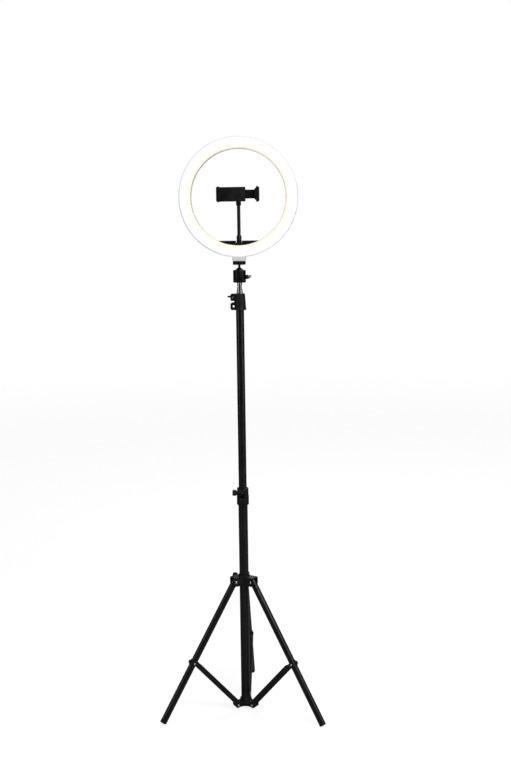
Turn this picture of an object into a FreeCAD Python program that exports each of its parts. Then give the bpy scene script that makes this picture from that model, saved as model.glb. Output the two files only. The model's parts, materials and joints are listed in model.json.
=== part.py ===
import FreeCAD, Part
import os
import re

import Sketcher

# Ring light on a folding light stand, in millimetres.
# Origin: on the stand's column axis, at floor level. +Z up, the lamp faces -Y, +X to its right.
# Each leg lies in a vertical plane through the column axis, at its own azimuth.

DIMENSIONS = {
    # telescopic column
    "lower_od": 21.0, "lower_wall": 1.2, "lower_bottom": 8.0, "lower_top": 502.0,
    "middle_od": 18.0, "middle_wall": 1.0, "middle_bottom": 445.0, "middle_top": 940.0,
    "inner_od": 15.0, "inner_wall": 1.0, "inner_bottom": 470.0, "inner_top": 958.0,
    "slide_fit": 0.2, "bush_flange": 5.0, "bush_plug": 14.0, "own_bore": 5.0,
    # sliding leg hub
    "hub_low": 294.0, "hub_high": 318.0, "hub_radius": 13.0, "ear_radius": 31.0, "ear_half_width": 10.3,
    "ear_wall": 2.4, "ear_top": 314.5, "roof": 1.6, "leg_pivot_r": 24.0, "leg_pivot_z": 303.5,
    "leg_pin_od": 4.0, "pin_fit": 0.06, "pin_head_od": 6.0, "pin_head": 1.2, "pin_play": 0.3,
    # legs
    "leg_od": 15.0, "leg_wall": 1.0, "leg_angle": 31.33, "leg_length": 351.6, "leg_above_pivot": 5.0,
    "cap_height": 7.0, "clip_distance": 203.5, "clip_wall": 1.2, "clip_height": 13.0, "clip_mouth": 3.5,
    "clip_tab": 3.4, "clip_tab_width": 8.0, "clip_tab_height": 7.0,
    # braces and the hub at the foot of the column
    "brace_length": 159.7, "brace_angle": 41.73, "brace_half_gap": 9.05, "brace_wall": 1.1,
    "brace_lobe": 4.6, "brace_web": 7.9, "brace_edge": 2.4, "brace_cutback": 18.0, "brace_cutback_low": 12.0,
    "rivet_od": 3.2, "rivet_head_od": 5.0, "rivet_head": 1.2, "tight_fit": 0.04,
    "spreader_low": 5.5, "spreader_high": 22.0, "spreader_pivot_r": 23.5, "spreader_pivot_z": 10.5,
    "spreader_lug": 6.6, "spreader_half_width": 8.7, "spreader_radius": 13.0, "shoulder_low": 12.0,
    "shoulder_high": 24.0, "shoulder_flare": 6.4, "shoulder_neck": 2.0,
    # clamp collars and their wing knobs
    "mid_low": 480.2, "mid_split": 503.0, "mid_high": 519.4, "mid_sleeve_od": 27.2, "mid_band_od": 25.8,
    "top_low": 921.3, "top_split": 941.5, "top_high": 957.3, "top_sleeve_od": 28.2, "top_band_od": 23.0,
    "collar_lug": 20.5, "lug_half_width": 7.8, "lug_slit": 1.6, "lug_gap": 4.0,
    "clamp_offset": 15.0, "clamp_screw_od": 5.0, "eyelet_offset": 13.9, "eyelet_od": 5.4,
    "nut_od": 9.2, "nut_depth": 4.0, "wing_neck_od": 9.4, "wing_neck": 5.2,
    "wing_hub_od": 13.4, "wing_hub": 8.6, "wing_span": 27.0, "wing_thick": 4.0, "wing_round": 1.9,
    "lug_round": 4.0, "jaw_round": 4.0,
    # lock knob of the leg hub
    "hub_knob_z": 311.5, "hub_knob_start": 20.0, "hub_knob_od": 12.6, "hub_knob": 9.0, "flute_od": 2.6,
    "flute_offset": 0.5,
    # spigot and ball head
    "spigot_flange_od": 12.8, "spigot_flange": 7.7, "spigot_od": 11.2, "spigot_top": 981.7,
    "stud_od": 6.35, "ball_od": 19.0, "ball_z": 1005.1, "ball_fit": 0.3, "stem_od": 5.3,
    "lock_z": 994.0, "lock_screw_od": 4.8, "lock_hub_od": 9.6, "lock_hub": 6.5, "lock_span": 15.0,
    "lock_thick": 3.4, "cup_low": 990.2, "cup_od": 18.0, "cup_high": 999.0,
    "housing_od": 28.0, "housing_top": 1009.1, "platform_low": 1020.7, "platform_od": 28.5,
    "platform_height": 6.7, "stem_seat": 4.6, "stud_seat": 5.2, "stud_end": 6.0,
    # ring lamp
    "ring_z": 1167.1, "ring_radius": 130.0, "ring_bore": 103.5, "ring_depth": 25.0, "shell_wall": 1.5,
    "neck_width": 28.5, "neck_depth": 22.0, "neck_low": 1029.2, "insert_od": 8.0, "insert_length": 7.0,
    "diffuser_wall": 2.0, "rim_drop": 2.0, "board_z": 3.2, "board_thick": 1.6, "post_od": 5.0,
    "back_round": 5.0, "floor_round": 3.5, "neck_round": 2.5, "neck_height": 20.0, "lens_chamfer": 1.5,
    "screw_od": 2.9, "screw_head_od": 5.5, "screw_head": 1.4, "screw_length": 12.0, "screw_play": 0.4,
    "gland_angle": 12.0, "gland_od": 9.0, "gland_height": 5.0, "gland_bore": 4.2, "board_inset": 2.5,
    "led_length": 3.5, "led_width": 2.8, "led_height": 0.7, "led_inner_row": 8.0, "led_outer_row": 9.0,
    # telephone holder
    "crescent_top": 1073.0, "crescent_depth": 24.0, "notch_width": 14.3, "notch_depth": 4.4,
    "hose_od": 8.0, "hose_y": 5.0, "ferrule_od": 11.0, "ferrule_top": 1085.0, "hose_top": 1160.0,
    "clip_low": 1156.7, "clip_high": 1190.0, "jaw_gap": 77.5, "jaw_thick": 6.0, "pad_thick": 1.5,
    "jaw_depth": 22.0, "jaw_lip": 3.0, "clip_front": -24.0, "clip_back": 8.0, "clip_edge": 16.0,
    "tongue_half": 9.6, "cavity_half": 14.0, "tongue_tail": 10.0, "swivel_od": 20.0, "swivel_screw_od": 4.0,
}

LEGS = {"left": 210.0, "right": 330.0, "rear": 90.0}
UP = FreeCAD.Vector(0, 0, 1)
SCREW_COUNT = 6
LED_COUNT = 60
FLUTE_COUNT = 8
HUB_KNOB_BEARING = 150
LOCK_BEARING = -16.5
LOCK_ROLL = 20
THROUGH = 60  # longer than any piece that a hole goes right through

doc = FreeCAD.newDocument("ring_light")
sheet = doc.addObject("Spreadsheet::Sheet", "dims")
for row, (alias, value) in enumerate(DIMENSIONS.items(), start=1):
    sheet.set(f"A{row}", alias)
    sheet.set(f"B{row}", str(value))
    sheet.setAlias(f"B{row}", alias)
doc.recompute()
parts = []


def size(alias):
    """One driving dimension as a number, read from the sheet."""
    return float(sheet.get(alias))


def bind(item, prop, formula):
    """Tie a property to the sheet. A formula is written with bare aliases."""
    text = re.sub(r"[a-z][a-z_]*", lambda m: f"dims.{m[0]}" if m[0] in DIMENSIONS else m[0], str(formula))
    item.setExpression(prop, text)


def place(item, at, turn=FreeCAD.Rotation()):
    """Turn an object, then tie its position to three formulas."""
    item.Placement = FreeCAD.Placement(FreeCAD.Vector(0, 0, 0), turn)
    for letter, formula in zip("xyz", at):
        if str(formula) != "0":
            bind(item, f"Placement.Base.{letter}", formula)
    return item


def direction(axis):
    """The rotation that lays a solid's own Z along an axis."""
    return FreeCAD.Rotation(UP, FreeCAD.Vector(*axis))


def around(azimuth):
    """The rotation about the column axis."""
    return FreeCAD.Rotation(UP, azimuth)


def cylinder(diameter, height, at=(0, 0, 0), axis=(0, 0, 1)):
    item = doc.addObject("Part::Cylinder", "cylinder")
    bind(item, "Radius", f"({diameter}) / 2")
    bind(item, "Height", height)
    return place(item, at, direction(axis))


def cone(low, high, height, at=(0, 0, 0), axis=(0, 0, 1)):
    item = doc.addObject("Part::Cone", "cone")
    bind(item, "Radius1", f"({low}) / 2")
    bind(item, "Radius2", f"({high}) / 2")
    bind(item, "Height", height)
    return place(item, at, direction(axis))


def ball(diameter, at):
    item = doc.addObject("Part::Sphere", "ball")
    bind(item, "Radius", f"({diameter}) / 2")
    return place(item, at)


def box(length, width, height, at):
    """A box given by its three sizes and its lowest corner."""
    item = doc.addObject("Part::Box", "box")
    bind(item, "Length", length)
    bind(item, "Width", width)
    bind(item, "Height", height)
    return place(item, at)


def fuse(*items):
    """The union of several solids. One alone is only wrapped, so that it can take a second placement."""
    if len(items) == 1:
        return group(items)
    item = doc.addObject("Part::MultiFuse", "union")
    item.Shapes = list(items)
    item.Refine = True
    return item


def common(first, second):
    item = doc.addObject("Part::MultiCommon", "overlap")
    item.Shapes = [first, second]
    return item


def cut(base, *tools):
    """Base less every tool."""
    item = doc.addObject("Part::Cut", "difference")
    item.Base = base
    item.Tool = tools[0] if len(tools) == 1 else fuse(*tools)
    item.Refine = True
    return item


def group(items):
    """Several loose, identical solids in one node."""
    item = doc.addObject("Part::Compound", "set")
    item.Links = list(items)
    return item


def turned_to(item, azimuth):
    """Turn a piece that was built at azimuth 0 about the column."""
    item.Placement = FreeCAD.Placement(FreeCAD.Vector(0, 0, 0), around(azimuth))
    return item


def slot_box(length, width, height, at):
    """A box that is centred across Y."""
    return box(length, width, height, (at[0], f"-({width}) / 2", at[1]))


def rivet(shank_od, half_length, at, head_od, head):
    """A pin across Y, headed at both ends."""
    x, z = at
    shank = cylinder(shank_od, f"2 * ({half_length})", (x, f"-({half_length})", z), (0, 1, 0))
    crown = f"{head_od} - 1.6"
    near = cone(head_od, crown, head, (x, f"-({half_length})", z), (0, -1, 0))
    far = cone(head_od, crown, head, (x, half_length, z), (0, 1, 0))
    return fuse(shank, near, far)


def rounded(item, radius, chosen):
    """Fillet the edges for which chosen(edge) is true."""
    doc.recompute()
    result = doc.addObject("Part::Fillet", "rounded")
    result.Base = item
    edges = [n for n, edge in enumerate(item.Shape.Edges, start=1) if chosen(edge)]
    result.Edges = [(n, radius, radius) for n in edges]
    return result


def finish(label, item):
    """Name a sub-part: its label is its node and its file name."""
    item.Label = label
    parts.append(item)
    return item


def plane_of(body, role):
    return next(f for f in body.Origin.OriginFeatures if f.Role == role)


def profile(body, corners, role="XZ_Plane"):
    """A closed outline in one of the body's own planes, every corner tied to the sheet."""
    sketch = body.newObject("Sketcher::SketchObject", "outline")
    sketch.AttachmentSupport = [(plane_of(body, role), "")]
    sketch.MapMode = "FlatFace"
    count = len(corners)
    for index in range(count):
        start = FreeCAD.Vector(index, index * index, 0)
        stop = FreeCAD.Vector(index + 1, (index + 1) ** 2, 0)
        if index == count - 1:
            stop = FreeCAD.Vector(0, 0, 0)
        sketch.addGeometry(Part.LineSegment(start, stop), False)
    for index in range(count):
        sketch.addConstraint(Sketcher.Constraint("Coincident", index, 2, (index + 1) % count, 1))
    for index, corner in enumerate(corners):
        for kind, formula in zip(("DistanceX", "DistanceY"), corner):
            if str(formula) == "0":
                target = -2 if kind == "DistanceX" else -1
                sketch.addConstraint(Sketcher.Constraint("PointOnObject", index, 1, target))
                continue
            number = sketch.addConstraint(Sketcher.Constraint(kind, -1, 1, index, 1, 1.0))
            bind(sketch, f"Constraints[{number}]", formula)
    return sketch


def revolved(corners):
    """A (radius, height) outline revolved about the body's own Z."""
    body = doc.addObject("PartDesign::Body", "turned")
    sketch = profile(body, corners)
    feature = body.newObject("PartDesign::Revolution", "turning")
    feature.Profile = sketch
    feature.ReferenceAxis = (sketch, ["V_Axis"])
    feature.Angle = 360
    body.Tip = feature
    return body


def extruded(corners, width):
    """An outline in the XZ plane, made as wide as asked, half to each side of it."""
    body = doc.addObject("PartDesign::Body", "plate")
    feature = body.newObject("PartDesign::Pad", "pad")
    feature.Profile = profile(body, corners)
    bind(feature, "Length", width)
    feature.Midplane = True
    body.Tip = feature
    return body


def turned(label, corners):
    return finish(label, revolved(corners))


def tube(label, outer, wall, low, high):
    return turned(label, [(f"{outer} / 2 - {wall}", low), (f"{outer} / 2", low),
                          (f"{outer} / 2", high), (f"{outer} / 2 - {wall}", high)])


# ---- telescopic column --------------------------------------------------------------------------

tube("lower_tube", "lower_od", "lower_wall", "lower_bottom", "lower_top")
tube("middle_tube", "middle_od", "middle_wall", "middle_bottom", "middle_top")
tube("inner_tube", "inner_od", "inner_wall", "inner_bottom", "inner_top")


def bush(label, own_od, own_wall, bottom, outer_od, outer_wall):
    """A plug in the foot of a sliding tube, with a flange that runs in the tube outside it."""
    plug = f"{own_od} / 2 - {own_wall} - tight_fit / 2"
    flange = f"{outer_od} / 2 - {outer_wall} - slide_fit"
    turned(label, [("own_bore", f"{bottom} - bush_flange"), (flange, f"{bottom} - bush_flange"),
                   (flange, bottom), (plug, bottom),
                   (plug, f"{bottom} + bush_plug"), ("own_bore", f"{bottom} + bush_plug")])


bush("middle_bush", "middle_od", "middle_wall", "middle_bottom", "lower_od", "lower_wall")
bush("inner_bush", "inner_od", "inner_wall", "inner_bottom", "middle_od", "middle_wall")

# ---- hub at the foot of the column, its pins ------------------------------------------------------


def spreader_lug():
    """One solid lug, which the channel of a brace straddles."""
    eye = cylinder("2 * spreader_lug", "2 * spreader_half_width",
                   ("spreader_pivot_r", "-spreader_half_width", "spreader_pivot_z"), (0, 1, 0))
    arm = slot_box("spreader_pivot_r", "2 * spreader_half_width",
                   "spreader_pivot_z + spreader_lug - spreader_low", (0, "spreader_low"))
    hole = cylinder("rivet_od + tight_fit", "3 * spreader_half_width",
                    ("spreader_pivot_r", "-1.5 * spreader_half_width", "spreader_pivot_z"), (0, 1, 0))
    return cut(fuse(eye, arm), hole)


barrel = cylinder("2 * spreader_radius", "spreader_high - spreader_low", (0, 0, "spreader_low"))
shoulder = cone("2 * spreader_radius + shoulder_flare", "2 * spreader_radius - shoulder_neck",
                "shoulder_high - shoulder_low", (0, 0, "shoulder_low"))
lugs = [turned_to(spreader_lug(), azimuth) for azimuth in LEGS.values()]
seat = cylinder("lower_od + tight_fit", "shoulder_high", (0, 0, "lower_bottom"))
finish("spreader_hub", cut(fuse(barrel, shoulder, *lugs), seat))

spreader_reach = "brace_half_gap + brace_wall + pin_play"
finish("spreader_pins", group(
    turned_to(rivet("rivet_od", spreader_reach, ("spreader_pivot_r", "spreader_pivot_z"), "rivet_head_od",
                    "rivet_head"), azimuth) for azimuth in LEGS.values()))

# ---- sliding leg hub, its pins and lock knob ------------------------------------------------------


def hub_ear():
    """One hood of the leg hub: two cheeks and a roof, with the leg between them."""
    inner = 5
    outline = [(inner, "hub_low"), ("ear_radius - 4", "hub_low"), ("ear_radius", "hub_low + 5"),
               ("ear_radius", "ear_top - 2"), ("ear_radius - 2", "ear_top"), (inner, "ear_top")]
    hood = extruded(outline, "2 * ear_half_width")
    hollow = slot_box("ear_radius", "2 * (ear_half_width - ear_wall)", "ear_top - roof - hub_low + 5",
                      (inner, "hub_low - 5"))
    hole = cylinder("leg_pin_od + tight_fit", "3 * ear_half_width",
                    ("leg_pivot_r", "-1.5 * ear_half_width", "leg_pivot_z"), (0, 1, 0))
    return cut(hood, hollow, hole)


def hub_knob_frame(item):
    """Lay a piece made along Z from the column axis out to the lock knob."""
    lay = FreeCAD.Rotation(FreeCAD.Vector(0, 1, 0), 90)
    return place(item, (0, 0, "hub_knob_z"), around(HUB_KNOB_BEARING).multiply(lay))


barrel = cylinder("2 * hub_radius", "hub_high - hub_low", (0, 0, "hub_low"))
ears = [turned_to(hub_ear(), azimuth) for azimuth in LEGS.values()]
bore = cylinder("lower_od + 2 * slide_fit", "2 * hub_high", (0, 0, 0))
thread = hub_knob_frame(cylinder("clamp_screw_od + tight_fit", "hub_knob_start"))
finish("leg_hub", cut(fuse(barrel, *ears), bore, thread))
leg_pin = ("leg_pin_od", "ear_half_width", ("leg_pivot_r", "leg_pivot_z"), "pin_head_od", "pin_head")
finish("leg_hub_pins", group(turned_to(rivet(*leg_pin), azimuth) for azimuth in LEGS.values()))

screw_tip = "lower_od / 2 + slide_fit"
finish("leg_hub_screw", hub_knob_frame(fuse(
    cylinder("clamp_screw_od", f"hub_knob_start + hub_knob / 2 - ({screw_tip})", (0, 0, screw_tip)))))
grip = cylinder("hub_knob_od", "hub_knob", (0, 0, "hub_knob_start"))
flute_place = ("hub_knob_od / 2 + flute_offset", 0, "hub_knob_start")
flutes = [turned_to(fuse(cylinder("flute_od", "hub_knob", flute_place)), 360 / FLUTE_COUNT * number)
          for number in range(FLUTE_COUNT)]
socket = cylinder("clamp_screw_od + tight_fit", "hub_knob / 2", (0, 0, "hub_knob_start"))
finish("leg_hub_knob", hub_knob_frame(cut(grip, socket, *flutes)))

# ---- legs, foot caps, leg clips, braces -----------------------------------------------------------


def leg_frame(item):
    """Tilt a piece made along Z, with the leg's hinge at its origin, into the open leg's place."""
    tilt = FreeCAD.Rotation(FreeCAD.Vector(0, 1, 0), -size("leg_angle"))
    return place(item, ("leg_pivot_r", 0, "leg_pivot_z"), tilt)


def brace_frame(item):
    tilt = FreeCAD.Rotation(FreeCAD.Vector(0, 1, 0), size("brace_angle"))
    return place(item, ("spreader_pivot_r", 0, "spreader_pivot_z"), tilt)


def leg_tube():
    low, high, bore_r = "cap_height - leg_length", "leg_above_pivot", "leg_od / 2 - leg_wall"
    body = revolved([(bore_r, low), ("leg_od / 2", low), ("leg_od / 2", high), (bore_r, high)])
    hole = cylinder("leg_pin_od + 2 * pin_fit", "2 * leg_od", (0, "-leg_od", 0), (0, 1, 0))
    return fuse(leg_frame(cut(body, hole)))


def foot_cap():
    """A plug with a full-width head, worn flat where it stands on the floor."""
    plug_r = "leg_od / 2 - leg_wall - tight_fit / 2"
    seat, top = "cap_height - leg_length", "3 * cap_height - leg_length"
    body = leg_frame(revolved([(0, "-leg_length"), ("leg_od / 2", "-leg_length"), ("leg_od / 2", seat),
                               (plug_r, seat), (plug_r, top), (0, top)]))
    floor = box("leg_length", "leg_length", THROUGH, (0, "-leg_length / 2", -THROUGH))
    return cut(body, floor)


def leg_clip():
    """A spring clip round the outside of the leg, open towards the column, with a small outer tab."""
    low = "-clip_distance - clip_height / 2"
    ring_od = "leg_od + 2 * (clip_wall + tight_fit)"
    ring = cylinder(ring_od, "clip_height", (0, 0, low))
    tab = box("clip_tab", "clip_tab_width", "clip_tab_height",
              ("leg_od / 2 + clip_wall / 3", "-clip_tab_width / 2", "-clip_distance - clip_tab_height / 2"))
    leg = cylinder("leg_od + 2 * tight_fit", "3 * clip_height", (0, 0, "-clip_distance - 1.5 * clip_height"))
    mouth = box("leg_od", "2 * leg_od", "3 * clip_height",
                ("-leg_od - clip_mouth", "-leg_od", "-clip_distance - 1.5 * clip_height"))
    return fuse(leg_frame(cut(fuse(ring, tab), leg, mouth)))


def brace():
    """A pressed channel with its web on the upper side, cut back at both ends, and an eye at each end."""
    back = "-(brace_web + brace_wall)"
    half_width = "brace_half_gap + brace_wall"
    outline = [(back, 8), (back, "brace_length - 12"), (-4, "brace_length + 1"),
               ("brace_edge", "brace_length + 1"), ("brace_edge", -1), (-4, -1)]
    channel = extruded(outline, f"2 * ({half_width})")
    eyes = [cylinder("2 * brace_lobe", f"2 * ({half_width})", (0, f"-({half_width})", height), (0, 1, 0))
            for height in (0, "brace_length")]
    hollow = box(THROUGH, "2 * brace_half_gap", f"brace_length + {THROUGH}",
                 ("-brace_web", "-brace_half_gap", -THROUGH / 2))
    low_end = box(THROUGH, "2 * brace_half_gap", f"{THROUGH} + brace_cutback_low",
                  ("-2 * brace_web", "-brace_half_gap", -THROUGH))
    high_end = box(THROUGH, "2 * brace_half_gap", f"brace_cutback + {THROUGH}",
                   ("-2 * brace_web", "-brace_half_gap", "brace_length - brace_cutback"))
    holes = [cylinder(f"rivet_od + {play}", THROUGH, (0, -THROUGH / 2, height), (0, 1, 0))
             for play, height in (("2 * pin_fit", 0), ("tight_fit", "brace_length"))]
    return fuse(brace_frame(cut(fuse(channel, *eyes), hollow, low_end, high_end, *holes)))


def brace_rivets():
    """The two rivet halves at the leg end of a brace, one in each flange."""
    whole = rivet("rivet_od", "brace_half_gap + brace_wall", (0, "brace_length"),
                  "rivet_head_od", "rivet_head")
    middle = box(THROUGH, "2 * brace_half_gap", THROUGH,
                 (-THROUGH / 2, "-brace_half_gap", f"brace_length - {THROUGH / 2}"))
    return fuse(brace_frame(cut(whole, middle)))


for name, azimuth in LEGS.items():
    finish(f"leg_{name}", turned_to(leg_tube(), azimuth))
    finish(f"foot_cap_{name}", turned_to(foot_cap(), azimuth))
    finish(f"leg_clip_{name}", turned_to(leg_clip(), azimuth))
    finish(f"brace_{name}", turned_to(brace(), azimuth))
    finish(f"brace_rivets_{name}", turned_to(brace_rivets(), azimuth))

# ---- clamp collars with their wing knobs ----------------------------------------------------------


def lug(low, high):
    """A flat lug towards +X with rounded outer corners."""
    block = slot_box("collar_lug", "2 * lug_half_width", f"{high} - ({low})", (0, low))
    return rounded(block, size("lug_round"), lambda edge: all(
        v.X > size("collar_lug") - 0.1 and abs(v.Z - edge.Vertexes[0].Z) < 0.1 for v in edge.Vertexes))


def collar(stage, below_od, above_od, azimuth):
    """A moulded collar: a sleeve on the outer tube, a slit band round the inner one, and an eyelet."""
    low, split, high = (f"{stage}_{place_name}" for place_name in ("low", "split", "high"))
    clamp_z = f"({split} + {high}) / 2"
    eyelet_z = f"({low} + {split} - lug_gap) / 2"
    sleeve_od = f"{stage}_sleeve_od"
    band_od = f"{stage}_band_od"
    if stage == "mid":
        sleeve = fuse(cone(f"{sleeve_od} - 3", sleeve_od, 2, (0, 0, low)),
                      cylinder(sleeve_od, f"{split} - {low} - 3", (0, 0, f"{low} + 2")),
                      cone(sleeve_od, band_od, 1, (0, 0, f"{split} - 1")))
        band = cylinder(band_od, f"{high} - {split}", (0, 0, split))
    else:
        sleeve = cylinder(sleeve_od, 3, (0, 0, low))
        band = cone(f"{sleeve_od} - 0.8", band_od, f"{high} - {low} - 3", (0, 0, f"{low} + 3"))
    outside = fuse(sleeve, band, lug(split, high), lug(low, f"{split} - lug_gap"))
    seat = cylinder(f"{below_od} + tight_fit", f"{split} - {low} - 1", (0, 0, low))
    bore = cylinder(f"{above_od} + 2 * slide_fit", 2 * THROUGH, (0, 0, f"{low} - 10"))
    slit = slot_box("2 * collar_lug", "lug_slit", f"{high} - {split} + 0.5", (0, split))
    nut_place = ("clamp_offset", "lug_half_width - nut_depth", clamp_z)
    through_clamp = ("clamp_offset", -THROUGH / 2, clamp_z)
    screw = cylinder("clamp_screw_od + pin_play", THROUGH, through_clamp, (0, 1, 0))
    pocket = cylinder("nut_od + slide_fit", "nut_depth", nut_place, (0, 1, 0))
    eyelet = cylinder("eyelet_od", THROUGH, ("eyelet_offset", -THROUGH / 2, eyelet_z), (0, 1, 0))
    finish(f"{stage}_collar", turned_to(cut(outside, seat, bore, slit, screw, pocket, eyelet), azimuth))

    nut = cut(cylinder("nut_od", "nut_depth", nut_place, (0, 1, 0)),
              cylinder("clamp_screw_od + 2 * pin_fit", THROUGH, through_clamp, (0, 1, 0)))
    finish(f"{stage}_clamp_nut", turned_to(nut, azimuth))

    face = "-lug_half_width - pin_play"
    bolt = cylinder("clamp_screw_od", "2 * lug_half_width + wing_neck + 3",
                    ("clamp_offset", "lug_half_width", clamp_z), (0, -1, 0))
    finish(f"{stage}_clamp_screw", turned_to(fuse(bolt), azimuth))
    neck = cylinder("wing_neck_od", "wing_neck", ("clamp_offset", face, clamp_z), (0, -1, 0))
    hub = cylinder("wing_hub_od", "wing_hub", ("clamp_offset", f"{face} - wing_neck", clamp_z), (0, -1, 0))
    wings = box("wing_span", "wing_hub - 2", "wing_thick",
                ("clamp_offset - wing_span / 2", f"{face} - wing_neck - wing_hub + 0.6",
                 f"{clamp_z} - wing_thick / 2"))
    wings = rounded(wings, size("wing_round"), lambda edge: abs(edge.Vertexes[0].Y - edge.Vertexes[-1].Y) > 1)
    socket = cylinder("clamp_screw_od + tight_fit", "wing_neck + 3.1",
                      ("clamp_offset", face, clamp_z), (0, -1, 0))
    finish(f"{stage}_knob", turned_to(cut(fuse(neck, hub, wings), socket), azimuth))


collar("mid", "lower_od", "middle_od", 270)
collar("top", "middle_od", "inner_od", 180)

# ---- spigot and ball head -------------------------------------------------------------------------

spigot_plug = "inner_od / 2 - inner_wall - tight_fit / 2"
flange, groove = "spigot_flange_od / 2", "spigot_od / 2 - 1"
turned("spigot", [(0, "inner_top - 18"), (spigot_plug, "inner_top - 18"), (spigot_plug, "inner_top"),
                  (f"{flange} + 0.8", "inner_top"), (f"{flange} + 0.8", "inner_top + 1"),
                  (flange, "inner_top + 2"), (flange, "inner_top + spigot_flange - 1"),
                  ("spigot_od / 2", "inner_top + spigot_flange"), ("spigot_od / 2", "inner_top + 13"),
                  (groove, "inner_top + 14"), (groove, "inner_top + 16"),
                  ("spigot_od / 2", "inner_top + 17"), ("spigot_od / 2", "spigot_top"),
                  ("stud_od / 2", "spigot_top"), ("stud_od / 2", "spigot_top + 7"), (0, "spigot_top + 7")])


def lock_frame(item):
    """Lay a piece made along Z from the ball head's axis out to its lock knob."""
    lay = FreeCAD.Rotation(FreeCAD.Vector(0, 1, 0), 90)
    return place(item, (0, 0, "lock_z"), around(LOCK_BEARING).multiply(lay))


shell = revolved([(0, "spigot_top"), ("housing_od / 2 - 1", "spigot_top"),
                  ("housing_od / 2", "spigot_top + 1"), ("housing_od / 2", "housing_top - 1.2"), ("housing_od / 2 - 1.2", "housing_top"),
                  (0, "housing_top")])
cavity = ball("ball_od + 2 * ball_fit", (0, 0, "ball_z"))
well = cylinder("cup_od + 0.6", "ball_z - cup_low", (0, 0, "cup_low"))
thread = cylinder("stud_od + tight_fit", "cup_low - spigot_top", (0, 0, "spigot_top"))
side_hole = lock_frame(cylinder("lock_screw_od + tight_fit", "housing_od"))
finish("ball_housing", cut(shell, cavity, well, thread, side_hole))
cup = cylinder("cup_od", "cup_high - cup_low", (0, 0, "cup_low"))
finish("ball_cup", cut(cup, ball("ball_od + 2 * ball_fit", (0, 0, "ball_z"))))
lock_tip = "cup_od / 2 + 0.4"
finish("ball_lock_screw", lock_frame(fuse(cylinder("lock_screw_od", f"housing_od / 2 + 4 - ({lock_tip})",
                                                   (0, 0, lock_tip)))))
knob_start = "housing_od / 2 + 0.4"
knob_hub = cylinder("lock_hub_od", "lock_hub", (0, 0, knob_start))
paddle = box("lock_span", "lock_thick", "lock_hub + 3.8",
             ("-lock_span / 2", "-lock_thick / 2", "housing_od / 2 + 2.8"))
paddle = rounded(paddle, 1.6, lambda edge: abs(edge.Vertexes[0].Z - edge.Vertexes[-1].Z) > 1)
knob_socket = cylinder("lock_screw_od + tight_fit", 4, (0, 0, "housing_od / 2 + 0.2"))
knob = cut(fuse(knob_hub, paddle), knob_socket)
knob.Placement = FreeCAD.Placement(FreeCAD.Vector(0, 0, 0), FreeCAD.Rotation(UP, 90 + LOCK_ROLL))
finish("ball_knob", lock_frame(fuse(knob)))

stem_top = "platform_low + stem_seat"
finish("ball_stud", fuse(ball("ball_od", (0, 0, "ball_z")),
                         cylinder("stem_od", f"{stem_top} - ball_z", (0, 0, "ball_z"))))
stud_low = "platform_low + stud_seat"
disc_top = "platform_low + platform_height"
disc = revolved([(0, "platform_low"), ("platform_od / 2 - 1", "platform_low"),
                 ("platform_od / 2", "platform_low + 1"), ("platform_od / 2", disc_top), (0, disc_top)])
stem_hole = cylinder("stem_od + 2 * pin_fit", "stem_seat + pin_play", (0, 0, "platform_low"))
stud_hole = cylinder("stud_od + tight_fit", "platform_height", (0, 0, stud_low))
finish("head_platform", cut(disc, stem_hole, stud_hole))
pad_low = "platform_low + platform_height"
turned("platform_pad", [("stud_od / 2 + 0.3", pad_low), ("platform_od / 2 - 0.5", pad_low),
                        ("platform_od / 2 - 0.5", "neck_low"), ("stud_od / 2 + 0.3", "neck_low")])
turned("mount_stud", [(0, stud_low), ("stud_od / 2", stud_low), ("stud_od / 2", "neck_low + stud_end - 1"),
                      ("stud_od / 2 - 0.8", "neck_low + stud_end"), (0, "neck_low + stud_end")])
turned("neck_insert", [("stud_od / 2 + pin_fit", "neck_low"), ("insert_od / 2", "neck_low"),
                       ("insert_od / 2", "neck_low + insert_length"),
                       ("stud_od / 2 + pin_fit", "neck_low + insert_length")])

# ---- ring lamp: made round its own Z with the light towards +Z, then stood up ----------------------

STAND_UP = FreeCAD.Rotation(FreeCAD.Vector(1, 0, 0), 90)
screw_circle = "(ring_radius + ring_bore) / 2"
back_z = "-ring_depth / 2"
floor_z = f"{back_z} + shell_wall"
board_low = f"{back_z} + board_z"
board_high = f"{board_low} + board_thick"


def ring_frame(item):
    return place(item, (0, 0, "ring_z"), STAND_UP)


def round_the_ring(make, count, turn=0.0):
    """Copies of a small piece, evenly round the ring."""
    return [turned_to(make(), turn + 360.0 * number / count) for number in range(count)]


inner_wall = "ring_bore + shell_wall"
outer_wall = "ring_radius - shell_wall"
rim = "ring_depth / 2 - rim_drop"
half_turn = 360.0 / SCREW_COUNT / 2
section = [("ring_bore", rim), ("ring_bore", back_z), ("ring_radius", back_z), ("ring_radius", rim),
           (outer_wall, rim), (outer_wall, floor_z), (inner_wall, floor_z), (inner_wall, rim)]
back = revolved(section)
back_face = -size("ring_depth") / 2
back_floor = back_face + size("shell_wall")
back = rounded(back, size("back_round"), lambda edge: abs(edge.Vertexes[0].Z - back_face) < 0.01)
back = rounded(back, size("floor_round"), lambda edge: abs(edge.Vertexes[0].Z - back_floor) < 0.01)


def boss():
    """A boss in the back shell, which the circuit board rests on."""
    return fuse(cylinder("post_od + 3", f"{board_low} - ({floor_z})", (screw_circle, 0, floor_z)))


def screw_hole():
    """The way through the back shell for a shell screw."""
    return fuse(cylinder("screw_od + screw_play", "screw_length", (screw_circle, 0, f"{back_z} - 2")))


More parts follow.
